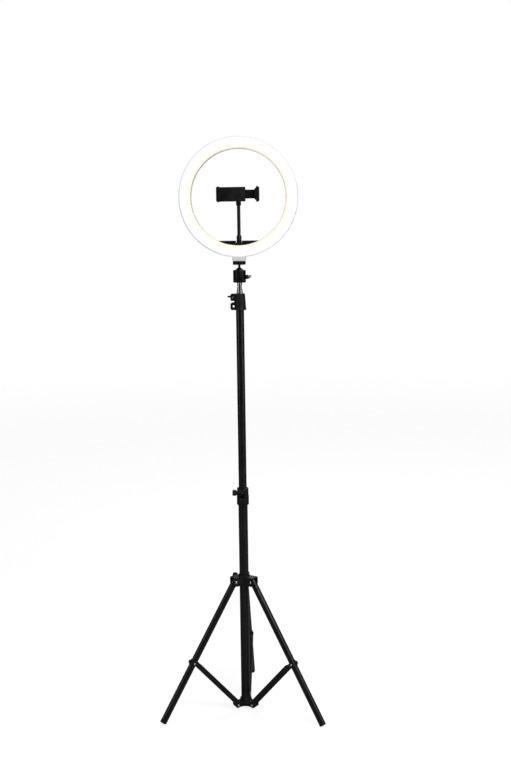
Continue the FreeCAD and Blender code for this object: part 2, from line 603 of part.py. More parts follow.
bosses = round_the_ring(boss, SCREW_COUNT, half_turn)
screw_holes = round_the_ring(screw_hole, SCREW_COUNT, half_turn)
gland_hole = fuse(cylinder("gland_od - 2", "screw_length", (screw_circle, 0, f"{back_z} - 2")))
gland_turn = -90 - size("gland_angle")
hollow_back = ring_frame(cut(fuse(back, *bosses), *screw_holes, turned_to(gland_hole, gland_turn)))
neck = slot_box("neck_width", "neck_depth", "neck_height", ("-neck_width / 2", "neck_low"))
neck = rounded(neck, size("neck_round"), lambda edge: abs(edge.Vertexes[0].Z - edge.Vertexes[-1].Z) > 1)
ring_space = cylinder("2 * ring_radius - shell_wall", THROUGH, (0, THROUGH / 2, "ring_z"), (0, -1, 0))
insert_seat = cylinder("insert_od + tight_fit", "insert_length", (0, 0, "neck_low"))
finish("ring_back_shell", cut(fuse(hollow_back, cut(neck, ring_space)), insert_seat))

lens_in = "ring_bore + shell_wall + 0.1"
lens_out = "ring_radius - shell_wall - 0.1"
front_z = "ring_depth / 2"
lens_roof = f"{front_z} - diffuser_wall"
lens_corner = f"{front_z} - lens_chamfer"
lens = revolved([(lens_in, 0), (lens_in, lens_corner), (f"{lens_in} + lens_chamfer", front_z),
                 (f"{lens_out} - lens_chamfer", front_z), (lens_out, lens_corner), (lens_out, 0),
                 (f"{lens_out} - diffuser_wall", 0), (f"{lens_out} - diffuser_wall", lens_roof),
                 (f"{lens_in} + diffuser_wall", lens_roof), (f"{lens_in} + diffuser_wall", 0)])


def screw_post():
    """A post behind the diffuser, which a shell screw pulls on."""
    post = cylinder("post_od", f"{front_z} - 1 - ({board_high})", (screw_circle, 0, board_high))
    return cut(post, cylinder("screw_od + tight_fit", "screw_length - board_z - board_thick + 1",
                              (screw_circle, 0, board_high)))


posts = round_the_ring(screw_post, SCREW_COUNT, half_turn)
finish("ring_diffuser", ring_frame(fuse(lens, *posts)))

board_in, board_out = f"{inner_wall} + board_inset", f"{outer_wall} - board_inset"
board = revolved([(board_in, board_low), (board_out, board_low),
                  (board_out, board_high), (board_in, board_high)])
board_holes = round_the_ring(screw_hole, SCREW_COUNT, half_turn)
finish("led_board", ring_frame(cut(board, *board_holes)))

lamp = box("led_length", "led_width", "led_height", (0, 0, 0))
doc.recompute()
lamps = []
lift = size("board_z") + size("board_thick") - size("ring_depth") / 2
for row_radius in (size("ring_bore") + size("led_inner_row"), size("ring_radius") - size("led_outer_row")):
    for number in range(LED_COUNT):
        one = lamp.Shape.copy()
        one.translate(FreeCAD.Vector(row_radius - size("led_length") / 2, -size("led_width") / 2, lift))
        one.rotate(FreeCAD.Vector(0, 0, 0), UP, 360.0 * (number + 0.5) / LED_COUNT)
        lamps.append(one)
leds = doc.addObject("Part::Feature", "leds_set")
leds.Shape = Part.makeCompound(lamps)
leds.Placement = FreeCAD.Placement(FreeCAD.Vector(0, 0, size("ring_z")), STAND_UP)
finish("leds", leds)


def shell_screw():
    """A flat-backed screw from behind, through the shell and into a post."""
    head = cone("screw_head_od - 1", "screw_head_od", "screw_head",
                (screw_circle, 0, f"{back_z} - screw_head"))
    shank = cylinder("screw_od", "screw_length", (screw_circle, 0, back_z))
    return fuse(head, shank)


screws = group(round_the_ring(shell_screw, SCREW_COUNT, half_turn))
finish("ring_screws", ring_frame(screws))
gland_plug = cylinder("gland_od - 2 - tight_fit", "shell_wall + 1", (screw_circle, 0, back_z))
gland_cone = cone("gland_od - 2", "gland_od", "gland_height", (screw_circle, 0, f"{back_z} - gland_height"))
gland = cut(fuse(gland_plug, gland_cone),
            cylinder("gland_bore", THROUGH, (screw_circle, 0, f"{back_z} - {THROUGH / 2}")))
finish("cable_gland", ring_frame(fuse(turned_to(gland, gland_turn))))

# ---- telephone holder -----------------------------------------------------------------------------

clip_z = "(clip_low + clip_high) / 2"
disc = cylinder("2 * ring_bore - 0.1", "crescent_depth", (0, "crescent_depth / 2", "ring_z"), (0, -1, 0))
segment = slot_box("ring_radius", "2 * crescent_depth", "crescent_top - ring_z + ring_radius",
                   ("-ring_radius / 2", "ring_z - ring_radius"))
notch = slot_box("notch_width", "2 * crescent_depth", "2 * notch_depth",
                 ("-notch_width / 2", "crescent_top - notch_depth"))
stud_hole = cylinder("clamp_screw_od + tight_fit", 20, (0, "hose_y", "crescent_top - 20"))
finish("holder_platform", cut(common(disc, segment), notch, stud_hole))

seat_z = "crescent_top - notch_depth"
screw_r, hose_r = "clamp_screw_od / 2", "hose_od / 2 + tight_fit / 2"
ferrule = revolved([(0, f"{seat_z} - 3.5"), (screw_r, f"{seat_z} - 3.5"), (screw_r, seat_z),
                    ("ferrule_od / 2", seat_z), ("ferrule_od / 2", "ferrule_top - 3"),
                    ("ferrule_od / 2 - 1", "ferrule_top"), (hose_r, "ferrule_top"),
                    (hose_r, "ferrule_top - 9"), (0, "ferrule_top - 9")])
finish("holder_ferrule", place(ferrule, (0, "hose_y", 0)))
hose_low = "ferrule_top - 8.9"
finish("gooseneck", fuse(cylinder("hose_od", f"hose_top - ({hose_low})", (0, "hose_y", hose_low))))

swivel_front = "clip_front + jaw_depth + 0.3"
swivel_block = cylinder("swivel_od", f"hose_y + 5.5 - ({swivel_front})", (0, swivel_front, clip_z), (0, 1, 0))
swivel_neck = cylinder("ferrule_od", "24", (0, "hose_y", "hose_top - 11"))
neck_bore = cylinder("hose_od + tight_fit", "20", (0, "hose_y", "hose_top - 20"))
swivel_hole = cylinder("swivel_screw_od + 2 * pin_fit", 60, (0, -30, clip_z), (0, 1, 0))
finish("holder_swivel", cut(fuse(swivel_block, swivel_neck), neck_bore, swivel_hole))
screw_shank = cylinder("swivel_screw_od", f"hose_y + 5.6 - (clip_front + jaw_depth - 2)",
                       (0, "clip_front + jaw_depth - 2", clip_z), (0, 1, 0))
screw_cap = cylinder("2 * swivel_screw_od", 2.2, (0, "hose_y + 5.6", clip_z), (0, 1, 0))
finish("swivel_screw", fuse(screw_shank, screw_cap))


def jaw(side):
    """An upright jaw with a lip that hooks over the front of the telephone."""
    near = "jaw_gap / 2 + pad_thick"
    height = "clip_high - clip_low"
    wall_x = near if side > 0 else f"-({near}) - jaw_thick"
    lip_x = f"{near} - jaw_lip" if side > 0 else f"-({near})"
    wall = box("jaw_thick", "jaw_depth", height, (wall_x, "clip_front", "clip_low"))
    outside = size("jaw_gap") / 2 + size("jaw_thick")
    wall = rounded(wall, size("jaw_round"), lambda edge: all(
        abs(v.X) > outside and abs(v.Z - edge.Vertexes[0].Z) < 0.1 for v in edge.Vertexes))
    lip = box("jaw_lip", "2.4", f"{height} - 8", (lip_x, "clip_front", "clip_low + 4"))
    return fuse(wall, lip)


back_y = "clip_front + jaw_depth - clip_back"
plate = box("jaw_gap / 2 + pad_thick + clip_edge", "clip_back", "clip_high - clip_low - 2",
            ("-jaw_gap / 2 - pad_thick", back_y, "clip_low + 1"))
cavity = box("36 + clip_edge + 5", "4", "2 * cavity_half", (-36, f"{back_y} + 2", f"{clip_z} - cavity_half"))
pivot_hole = cylinder("swivel_screw_od + tight_fit", 3, (0, "clip_front + jaw_depth - 2", clip_z), (0, 1, 0))
finish("clip_body", cut(fuse(jaw(-1), plate), cavity, pivot_hole))
tongue = box("tongue_tail + jaw_gap / 2 + pad_thick + 1", "3.4", "2 * tongue_half",
             ("-tongue_tail", f"{back_y} + 2.3", f"{clip_z} - tongue_half"))
hooks = box(2, "3.4", "2 * cavity_half - 1", (5, f"{back_y} + 2.3", f"{clip_z} - cavity_half + 0.5"))
finish("clip_jaw", fuse(jaw(1), tongue, hooks))
for side, label in ((-1, "jaw_pad_fixed"), (1, "jaw_pad_moving")):
    pad_x = "jaw_gap / 2" if side > 0 else "-jaw_gap / 2 - pad_thick"
    finish(label, fuse(box("pad_thick", "jaw_depth - clip_back - 3.4", "clip_high - clip_low - 9",
                           (pad_x, "clip_front + 2.9", "clip_low + 4.5"))))


def clip_spring(offset):
    """The outline of one of the two springs that pull the jaws together."""
    return fuse(cylinder(3, 40.6, (-35.8, f"{back_y} + 4", f"{clip_z} + {offset}"), (1, 0, 0)))


finish("clip_springs", group(clip_spring(offset) for offset in (-11.8, 11.8)))

# ---- check and write ------------------------------------------------------------------------------

doc.recompute()
failed = [f"{item.Name} ({item.Label})" for item in doc.Objects if {"Invalid", "Error"} & set(item.State)]
if failed:
    raise RuntimeError("these objects failed: " + ", ".join(failed))
os.makedirs("parts", exist_ok=True)
for item in parts:
    if item.Shape.isNull() or not item.Shape.isValid():
        raise RuntimeError(f"{item.Label} has no valid shape")
    item.Shape.exportStep(f"parts/{item.Label}.step")
    print(f"{item.Label}: {len(item.Shape.Solids)} solid(s), {item.Shape.Volume:.0f} mm3")
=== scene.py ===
import json
import math

import bpy
from mathutils import Matrix, Quaternion, Vector

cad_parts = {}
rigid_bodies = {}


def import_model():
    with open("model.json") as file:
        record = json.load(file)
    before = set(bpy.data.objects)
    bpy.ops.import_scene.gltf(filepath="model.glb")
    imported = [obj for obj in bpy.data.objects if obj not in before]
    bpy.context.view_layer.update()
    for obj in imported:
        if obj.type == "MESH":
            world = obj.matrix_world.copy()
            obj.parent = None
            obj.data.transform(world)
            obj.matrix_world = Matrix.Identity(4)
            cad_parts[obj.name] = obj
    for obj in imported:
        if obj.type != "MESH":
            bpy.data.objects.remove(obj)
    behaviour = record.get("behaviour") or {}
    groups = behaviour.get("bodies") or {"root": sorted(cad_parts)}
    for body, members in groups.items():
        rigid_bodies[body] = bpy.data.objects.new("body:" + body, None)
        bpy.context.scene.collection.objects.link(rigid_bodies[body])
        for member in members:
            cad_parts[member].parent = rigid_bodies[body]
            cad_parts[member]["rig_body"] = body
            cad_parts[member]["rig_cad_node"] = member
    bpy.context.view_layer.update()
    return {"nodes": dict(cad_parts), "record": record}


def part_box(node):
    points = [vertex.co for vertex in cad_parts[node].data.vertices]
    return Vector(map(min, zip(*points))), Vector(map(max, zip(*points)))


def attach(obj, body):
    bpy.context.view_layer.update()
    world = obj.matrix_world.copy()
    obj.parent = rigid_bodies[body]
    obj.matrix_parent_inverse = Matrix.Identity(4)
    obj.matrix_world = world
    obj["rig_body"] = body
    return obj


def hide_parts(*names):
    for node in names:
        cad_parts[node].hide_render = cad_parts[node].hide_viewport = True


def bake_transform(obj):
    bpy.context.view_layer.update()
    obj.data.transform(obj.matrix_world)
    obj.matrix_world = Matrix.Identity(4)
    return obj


# A ring light on a folding stand. Metres, in the frame of the design: the column stands on the
# origin, +Z is up and the lamp faces -Y.

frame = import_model()

MM = 0.001
UP = Vector((0, 0, 1))
LEG_BEARINGS = {"left": 210, "right": 330, "rear": 90}

RING_CENTRE = Vector((0, 0, 1167.1)) * MM
RING_OUTER = 130 * MM
RING_INNER = 103.5 * MM
RING_HALF_DEPTH = 12.5 * MM
SCREW_CIRCLE = 116.75 * MM
SCREW_COUNT = 6
SCREW_START = 30

# Places of the small parts, in millimetres and degrees. A pivot is a radius from the column's
# axis and a height.
LEG_PIVOT = (24.0, 303.5)
SPREADER_PIVOT = (23.5, 10.5)
BRACE_PIVOT = (129.8, 129.7)
MID_KNOB_PLACE = (-8.1, -15, 511.2)
TOP_KNOB_PLACE = (-15, 8.1, 949.4)
HUB_KNOB_PLACE = (0, 0, 311.5)
HUB_KNOB_BEARING = 150
LOCK_PLACE = (0, 0, 994)
LOCK_BEARING = -16.5
LOCK_ROLL = 20
BALL_PLACE = (0, 0, 1005.1)
BALL_RADIUS = 9.5
STEM_RADIUS = 2.65
HOSE_AXIS = (0, 5, 0)
HOSE_LOW = 1077.0
HOSE_HIGH = 1159.5


# ---- camera --------------------------------------------------------------------------------------

CAMERA_PLACE = Vector((0.2047, -2.5921, 1.138))
CAMERA_TURN = math.radians(3.81)
CAMERA_DIP = math.radians(8.37)
CAMERA_ROLL = math.radians(-0.78)
FOCAL_LENGTH = 36.87
FILM_HEIGHT = 24.0


def add_camera():
    """Just under the lamp's height, looking a little down, and leaning by less than a degree."""
    data = bpy.data.cameras.new("studio_camera")
    data.sensor_fit = "VERTICAL"
    data.sensor_height = FILM_HEIGHT
    data.lens = FOCAL_LENGTH
    camera = bpy.data.objects.new("studio_camera", data)
    bpy.context.scene.collection.objects.link(camera)
    turn = Quaternion(UP, CAMERA_TURN) @ Quaternion((1, 0, 0), math.pi / 2 - CAMERA_DIP)
    camera.rotation_mode = "QUATERNION"
    camera.rotation_quaternion = turn @ Quaternion(UP, CAMERA_ROLL)
    camera.location = CAMERA_PLACE
    bpy.context.scene.camera = camera


add_camera()

# ---- material tools ------------------------------------------------------------------------------


def colour(code):
    """An sRGB hex colour as the linear RGBA that a shader takes."""
    parts = [int(code[n:n + 2], 16) / 255 for n in (1, 3, 5)]
    linear = [p / 12.92 if p <= 0.04045 else ((p + 0.055) / 1.055) ** 2.4 for p in parts]
    return (*linear, 1.0)


def across(size_mm):
    """The texture scale that makes one feature about this many millimetres wide."""
    return 1000.0 / size_mm


# At a scale of one, a wave texture has about three waves to the unit.
WAVES_PER_UNIT = 3


def add(tree, kind, values=None, links=None, stops=None, **settings):
    """One node: its settings, its input values, what feeds its inputs, and a ramp's stops."""
    node = tree.nodes.new(kind)
    for name, value in settings.items():
        setattr(node, name, value)
    for name, value in (values or {}).items():
        node.inputs[name].default_value = value
    for name, socket in (links or {}).items():
        tree.links.new(socket, node.inputs[name])
    if stops:
        elements = node.color_ramp.elements
        while len(elements) < len(stops):
            elements.new(0.5)
        for element, (position, code) in zip(elements, stops):
            element.position = position
            element.color = colour(code)
    return node


def new_material(name, **values):
    """A named material with one Principled shader. Gives the material, tree, shader and coordinates."""
    made = bpy.data.materials.new(name)
    made.use_nodes = True
    tree = made.node_tree
    tree.nodes.clear()
    shader = add(tree, "ShaderNodeBsdfPrincipled")
    for socket, value in values.items():
        shader.inputs[socket.replace("_", " ")].default_value = value
    output = add(tree, "ShaderNodeOutputMaterial")
    tree.links.new(shader.outputs["BSDF"], output.inputs["Surface"])
    place = add(tree, "ShaderNodeTexCoord").outputs["Object"]
    return made, tree, shader, place


def feed(tree, shader, **sources):
    """Links sockets to the shader's inputs, each named with _ for a space."""
    for socket, source in sources.items():
        tree.links.new(source, shader.inputs[socket.replace("_", " ")])


# ---- materials -----------------------------------------------------------------------------------


def powder_coat():
    """Black powder coat on drawn steel tube: semi-gloss, faint orange peel, dulled in patches by hands."""
    made, tree, shader, place = new_material("powder_coated_steel", IOR=1.5, Coat_Weight=0.25,
                                             Coat_Roughness=0.12)
    handling = add(tree, "ShaderNodeTexNoise", {"Scale": across(35), "Detail": 5.0, "Roughness": 0.62},
                   {"Vector": place})
    tint = add(tree, "ShaderNodeValToRGB", links={"Fac": handling.outputs["Fac"]},
               stops=[(0.35, "#08080A"), (0.52, "#0D0D0F"), (0.72, "#151516")])
    gloss = add(tree, "ShaderNodeMapRange",
                {"From Min": 0.3, "From Max": 0.75, "To Min": 0.22, "To Max": 0.4},
                {"Value": handling.outputs["Fac"]})
    peel = add(tree, "ShaderNodeTexNoise", {"Scale": across(1.6), "Detail": 2.0}, {"Vector": place})
    bump = add(tree, "ShaderNodeBump", {"Strength": 0.12, "Distance": 0.00015},
               {"Height": peel.outputs["Fac"]})
    feed(tree, shader, Base_Color=tint.outputs["Color"], Roughness=gloss.outputs["Result"],
         Normal=bump.outputs["Normal"])
    return made


def pressed_channel():
    """Thin black paint on pressed steel: duller than the tubes, its grain drawn coarse enough to show."""
    made, tree, shader, place = new_material("painted_steel_strip", IOR=1.5)
    rubbing = add(tree, "ShaderNodeTexNoise", {"Scale": across(22), "Detail": 6.0, "Roughness": 0.7},
                  {"Vector": place})
    tint = add(tree, "ShaderNodeValToRGB", links={"Fac": rubbing.outputs["Fac"]},
               stops=[(0.35, "#0A0A0B"), (0.6, "#121213"), (0.8, "#1E1E1F")])
    gloss = add(tree, "ShaderNodeMapRange", {"From Min": 0.3, "From Max": 0.8, "To Min": 0.3, "To Max": 0.5},
                {"Value": rubbing.outputs["Fac"]})
    grain = add(tree, "ShaderNodeTexNoise", {"Scale": across(0.9), "Detail": 3.0}, {"Vector": place})
    bump = add(tree, "ShaderNodeBump", {"Strength": 0.15, "Distance": 0.0001},
               {"Height": grain.outputs["Fac"]})
    feed(tree, shader, Base_Color=tint.outputs["Color"], Roughness=gloss.outputs["Result"],
         Normal=bump.outputs["Normal"])
    return made


def moulded_black(name, dark, light, smooth, rough, grain_mm, depth):
    """Black moulded plastic, paler and duller where it is handled. Its grain is coarse enough to show."""
    made, tree, shader, place = new_material(name, IOR=1.52, Specular_IOR_Level=0.32)
    patches = add(tree, "ShaderNodeTexNoise", {"Scale": across(14), "Detail": 4.0, "Roughness": 0.6},
                  {"Vector": place})
    tint = add(tree, "ShaderNodeValToRGB", links={"Fac": patches.outputs["Fac"]},
               stops=[(0.35, dark), (0.75, light)])
    gloss = add(tree, "ShaderNodeMapRange",
                {"From Min": 0.3, "From Max": 0.75, "To Min": smooth, "To Max": rough},
                {"Value": patches.outputs["Fac"]})
    grain = add(tree, "ShaderNodeTexVoronoi", {"Scale": across(grain_mm)}, {"Vector": place})
    bump = add(tree, "ShaderNodeBump", {"Strength": 0.25, "Distance": depth},
               {"Height": grain.outputs["Distance"]})
    feed(tree, shader, Base_Color=tint.outputs["Color"], Roughness=gloss.outputs["Result"],
         Normal=bump.outputs["Normal"])
    return made


def rubber():
    """Matt moulded rubber: no gloss, greyed by dust in its pores, which are drawn coarse enough to show."""
    made, tree, shader, place = new_material("moulded_rubber", IOR=1.52, Sheen_Weight=0.15,
                                             Sheen_Roughness=0.5)
    dust = add(tree, "ShaderNodeTexNoise", {"Scale": across(5), "Detail": 6.0, "Roughness": 0.7},
               {"Vector": place})
    tint = add(tree, "ShaderNodeValToRGB", links={"Fac": dust.outputs["Fac"]},
               stops=[(0.4, "#101011"), (0.75, "#232324")])
    pores = add(tree, "ShaderNodeTexNoise", {"Scale": across(0.5), "Detail": 2.0}, {"Vector": place})
    bump = add(tree, "ShaderNodeBump", {"Strength": 0.3, "Distance": 0.0001},
               {"Height": pores.outputs["Fac"]})
    gloss = add(tree, "ShaderNodeMapRange", {"To Min": 0.7, "To Max": 0.9}, {"Value": dust.outputs["Fac"]})
    feed(tree, shader, Base_Color=tint.outputs["Color"], Roughness=gloss.outputs["Result"],
         Normal=bump.outputs["Normal"])
    return made


def bright_metal(name, dark, light, smooth, rough, mark_mm):
    """Bare or plated metal with a slight tarnish, and tool marks drawn coarse enough to show."""
    made, tree, shader, place = new_material(name, Metallic=1.0)
    tarnish = add(tree, "ShaderNodeTexNoise", {"Scale": across(4), "Detail": 5.0, "Roughness": 0.6},
                  {"Vector": place})
    tint = add(tree, "ShaderNodeValToRGB", links={"Fac": tarnish.outputs["Fac"]},
               stops=[(0.3, dark), (0.7, light)])
    gloss = add(tree, "ShaderNodeMapRange",
                {"From Min": 0.3, "From Max": 0.7, "To Min": smooth, "To Max": rough},
                {"Value": tarnish.outputs["Fac"]})
    marks = add(tree, "ShaderNodeTexNoise", {"Scale": across(mark_mm), "Detail": 2.0}, {"Vector": place})
    bump = add(tree, "ShaderNodeBump", {"Strength": 0.1, "Distance": 0.00005},
               {"Height": marks.outputs["Fac"]})
    feed(tree, shader, Base_Color=tint.outputs["Color"], Roughness=gloss.outputs["Result"],
         Normal=bump.outputs["Normal"])
    return made


def turned_metal(name, dark, light, smooth, rough, feed_mm, metallic=1.0):
    """Metal off the lathe: the tool's rings across its axis, drawn coarse enough to show."""
    made, tree, shader, place = new_material(name, Metallic=metallic)
    wear = add(tree, "ShaderNodeTexNoise", {"Scale": across(6), "Detail": 5.0, "Roughness": 0.6},
               {"Vector": place})
    tint = add(tree, "ShaderNodeValToRGB", links={"Fac": wear.outputs["Fac"]},
               stops=[(0.3, dark), (0.7, light)])
    gloss = add(tree, "ShaderNodeMapRange",
                {"From Min": 0.3, "From Max": 0.7, "To Min": smooth, "To Max": rough},
                {"Value": wear.outputs["Fac"]})
    rings = add(tree, "ShaderNodeTexWave",
                {"Scale": across(feed_mm) / WAVES_PER_UNIT, "Distortion": 0.4, "Detail": 1.0},
                {"Vector": place}, wave_type="BANDS", bands_direction="Z")
    bump = add(tree, "ShaderNodeBump", {"Strength": 0.08, "Distance": 0.00003},
               {"Height": rings.outputs["Fac"]})
    feed(tree, shader, Base_Color=tint.outputs["Color"], Roughness=gloss.outputs["Result"],
         Normal=bump.outputs["Normal"])
    return made


def white_shell():
    """Satin white moulded ABS, its grain drawn coarse enough to show. An even painted glow covers the whole
    shell: partly light from the LEDs through its thin wall, mostly painted light that brightens it.
    """
    # The emission strength is a painted glow, the same over the whole shell, which brightens it beyond what
    # the lamps light.
    made, tree, shader, place = new_material("moulded_white_abs", IOR=1.53, Subsurface_Weight=0.05,
                                             Subsurface_Scale=0.002, Emission_Strength=0.16)
    tone = add(tree, "ShaderNodeTexNoise", {"Scale": across(45), "Detail": 3.0, "Roughness": 0.5},
               {"Vector": place})
    tint = add(tree, "ShaderNodeValToRGB", links={"Fac": tone.outputs["Fac"]},
               stops=[(0.3, "#E4E0E6"), (0.55, "#ECEAEE"), (0.8, "#F1EFEC")])
    gloss = add(tree, "ShaderNodeMapRange", {"To Min": 0.32, "To Max": 0.48}, {"Value": tone.outputs["Fac"]})
    grain = add(tree, "ShaderNodeTexVoronoi", {"Scale": across(0.8)}, {"Vector": place})
    bump = add(tree, "ShaderNodeBump", {"Strength": 0.12, "Distance": 0.00008},
               {"Height": grain.outputs["Distance"]})
    feed(tree, shader, Base_Color=tint.outputs["Color"], Emission_Color=tint.outputs["Color"],
         Roughness=gloss.outputs["Result"], Normal=bump.outputs["Normal"])
    return made


def lit_diffuser():
    """Milky acrylic lit from behind by two rows of LEDs: cream near the inner edge, whiter near the outer."""
    made, tree, shader, place = new_material("milky_acrylic_lit", IOR=1.49, Roughness=0.35,
                                             Emission_Strength=0.62)
    centred = add(tree, "ShaderNodeMapping", {"Location": -RING_CENTRE, "Scale": (1, 0, 1)},
                  {"Vector": place})
    reach = add(tree, "ShaderNodeVectorMath", links={0: centred.outputs["Vector"]}, operation="LENGTH")
    share = add(tree, "ShaderNodeMapRange", {"From Min": RING_INNER, "From Max": RING_OUTER},
                {"Value": reach.outputs["Value"]})
    cloud = add(tree, "ShaderNodeTexNoise", {"Scale": across(30), "Detail": 2.0}, {"Vector": place})
    mixed = add(tree, "ShaderNodeMath", {1: 0.16}, {0: cloud.outputs["Fac"], 2: share.outputs["Result"]},
                operation="MULTIPLY_ADD")
    glow = add(tree, "ShaderNodeValToRGB", links={"Fac": mixed.outputs["Value"]},
               stops=[(0.08, "#F4DEC6"), (0.2, "#FFF2D8"), (0.45, "#FFF8E8"), (0.8, "#FFFCF6"),
                      (1.0, "#F4F1F5")])
    feed(tree, shader, Base_Color=glow.outputs["Color"], Emission_Color=glow.outputs["Color"])
    return made


def circuit_board():
    """White solder mask on glass epoxy, with its copper tracks just showing as slightly darker bands."""
    made, tree, shader, place = new_material("white_solder_mask", IOR=1.5)
    tracks = add(tree, "ShaderNodeTexBrick",
                 {"Scale": across(40), "Color1": colour("#E9EBE8"), "Color2": colour("#E2E5E1"),
                  "Mortar": colour("#CFD3CC"), "Mortar Size": 0.03}, {"Vector": place})
    speck = add(tree, "ShaderNodeTexNoise", {"Scale": across(3), "Detail": 3.0}, {"Vector": place})
    gloss = add(tree, "ShaderNodeMapRange", {"To Min": 0.3, "To Max": 0.45}, {"Value": speck.outputs["Fac"]})
    feed(tree, shader, Base_Color=tracks.outputs["Color"], Roughness=gloss.outputs["Result"])
    return made


def led_phosphor():
    """Yellow phosphor gel in a white package."""
    made, tree, shader, place = new_material("led_phosphor_gel", IOR=1.5, Roughness=0.25,
                                             Emission_Strength=0.8)
    gel = add(tree, "ShaderNodeTexNoise", {"Scale": across(1.5), "Detail": 2.0}, {"Vector": place})
    tint = add(tree, "ShaderNodeValToRGB", links={"Fac": gel.outputs["Fac"]},
               stops=[(0.4, "#F3D26A"), (0.6, "#FBE9A8")])
    feed(tree, shader, Base_Color=tint.outputs["Color"], Emission_Color=tint.outputs["Color"])
    return made


def natural_nylon():
    """Unfilled nylon: creamy, slightly waxy and translucent."""
    made, tree, shader, place = new_material("natural_nylon", IOR=1.53, Subsurface_Weight=0.2,
                                             Subsurface_Scale=0.002)
    tone = add(tree, "ShaderNodeTexNoise", {"Scale": across(6), "Detail": 4.0}, {"Vector": place})
    tint = add(tree, "ShaderNodeValToRGB", links={"Fac": tone.outputs["Fac"]},
               stops=[(0.3, "#DAD5C6"), (0.7, "#EAE6DA")])
    gloss = add(tree, "ShaderNodeMapRange", {"To Min": 0.4, "To Max": 0.55}, {"Value": tone.outputs["Fac"]})
    feed(tree, shader, Base_Color=tint.outputs["Color"], Roughness=gloss.outputs["Result"])
    return made


# The black plastics go from the matt, grey-black nylon of collars, hubs, leg clips and foot caps, past
# the satin ABS of the telephone holder, to the smooth, near-black ABS of the knobs. The bright metals
# go from the white shine of aluminium rivets to the greyer zinc of screws and springs, and the nuts
# are black with oxide.
MATERIALS = {
    "black_tube": powder_coat(),
    "black_channel": pressed_channel(),
    "black_plastic": moulded_black("glass_filled_nylon", "#0B0B0C", "#1A1A1B", smooth=0.4, rough=0.58,
                                   grain_mm=0.7, depth=0.00012),
    "knob_plastic": moulded_black("polished_abs", "#070708", "#111112", smooth=0.3, rough=0.42,
                                  grain_mm=1.2, depth=0.00003),
    "holder_plastic": moulded_black("satin_abs", "#09090B", "#161618", smooth=0.35, rough=0.5,
                                    grain_mm=0.6, depth=0.00008),
    "hose": moulded_black("plastic_sheathed_gooseneck", "#0A0A0B", "#19191A", smooth=0.38, rough=0.55,
                          grain_mm=0.9, depth=0.00006),
    "black_rubber": rubber(),
    "bright_rivet": bright_metal("bright_aluminium_rivet", "#C9CACC", "#F1F1F2", smooth=0.18, rough=0.32,
                                 mark_mm=0.6),
    "zinc_steel": bright_metal("zinc_plated_steel", "#A9ABA6", "#CFD1CE", smooth=0.25, rough=0.42,
                               mark_mm=0.8),
    "chrome_spigot": turned_metal("nickel_plated_brass", "#BDBDC0", "#E4E4E6", smooth=0.1, rough=0.2,
                                  feed_mm=0.9),
    "polished_ball": turned_metal("black_nickel_ball", "#2A2926", "#4A4844", smooth=0.08, rough=0.16,
                                  feed_mm=1.0),
    "blackened_steel": bright_metal("black_oxide_steel", "#1A1A1C", "#2C2B2B", smooth=0.3, rough=0.45,
                                    mark_mm=0.8),
    "brass": turned_metal("turned_brass", "#B08D45", "#D9BC73", smooth=0.2, rough=0.32, feed_mm=0.6),
    "black_anodised": turned_metal("black_anodised_aluminium", "#0C0C0D", "#19191A", smooth=0.3, rough=0.42,
                                   feed_mm=0.8, metallic=0.55),
    "white_shell": white_shell(),
    "lit_diffuser": lit_diffuser(),
    "circuit_board": circuit_board(),
    "led_package": led_phosphor(),
    "white_nylon": natural_nylon(),
}

SLOT_OF = {entry["node"]: entry["material_slot"] for entry in frame["record"]["subparts"]}
for node_name, slot_name in SLOT_OF.items():
    for material_slot in frame["nodes"][node_name].material_slots:
        material_slot.material = MATERIALS[slot_name]

# ---- modelling tools -----------------------------------------------------------------------------

# Points closer than this, in metres, are one point, and faces within this many degrees are one face.
WELD = 0.000002
FLAT = 0.5


def only(piece):
    """Selects one piece and nothing else."""
    bpy.ops.object.select_all(action="DESELECT")
    piece.select_set(True)
    bpy.context.view_layer.objects.active = piece


def shape_with(piece, kind, **settings):
    """Adds a modifier and applies it."""
    modifier = piece.modifiers.new(kind.lower(), kind)
    for name, value in settings.items():
        setattr(modifier, name, value)
    only(piece)
    bpy.ops.object.modifier_apply(modifier=modifier.name)


def pick(piece, wanted, faces=False):
    """Selects the vertices, or the faces, for which wanted(item) is true, and enters edit mode."""
    only(piece)
    bpy.ops.object.mode_set(mode="EDIT")
    bpy.ops.mesh.select_all(action="DESELECT")
    bpy.ops.mesh.select_mode(type="FACE" if faces else "VERT")
    bpy.ops.object.mode_set(mode="OBJECT")
    for item in piece.data.polygons if faces else piece.data.vertices:
        item.select = wanted(item)
    bpy.ops.object.mode_set(mode="EDIT")


def outward(piece):
    """Points every face of a closed piece outwards."""
    only(piece)
    bpy.ops.object.mode_set(mode="EDIT")
    bpy.ops.mesh.select_mode(type="VERT")
    bpy.ops.mesh.select_all(action="SELECT")
    bpy.ops.mesh.remove_doubles(threshold=WELD)
    bpy.ops.mesh.normals_make_consistent(inside=False)
    bpy.ops.object.mode_set(mode="OBJECT")


def turned(name, steps, segments=48):
    """A piece off the lathe, upright: each (radius, height) in mm is one extrude and one scale."""
    radius, height = steps[0]
    bpy.ops.object.select_all(action="DESELECT")
    bpy.ops.mesh.primitive_circle_add(vertices=segments, radius=radius * MM, fill_type="NGON",
                                      location=(0, 0, height * MM))
    piece = bpy.context.object
    piece.name = name
    bpy.ops.object.mode_set(mode="EDIT")
    for next_radius, next_height in steps[1:]:
        rise = (next_height - height) * MM
        bpy.ops.mesh.extrude_region_move(TRANSFORM_OT_translate={"value": (0, 0, rise)})
        grow = next_radius / radius
        bpy.ops.transform.resize(value=(grow, grow, 1), center_override=(0, 0, 0))
        radius, height = next_radius, next_height
    bpy.ops.object.mode_set(mode="OBJECT")
    outward(piece)
    return piece


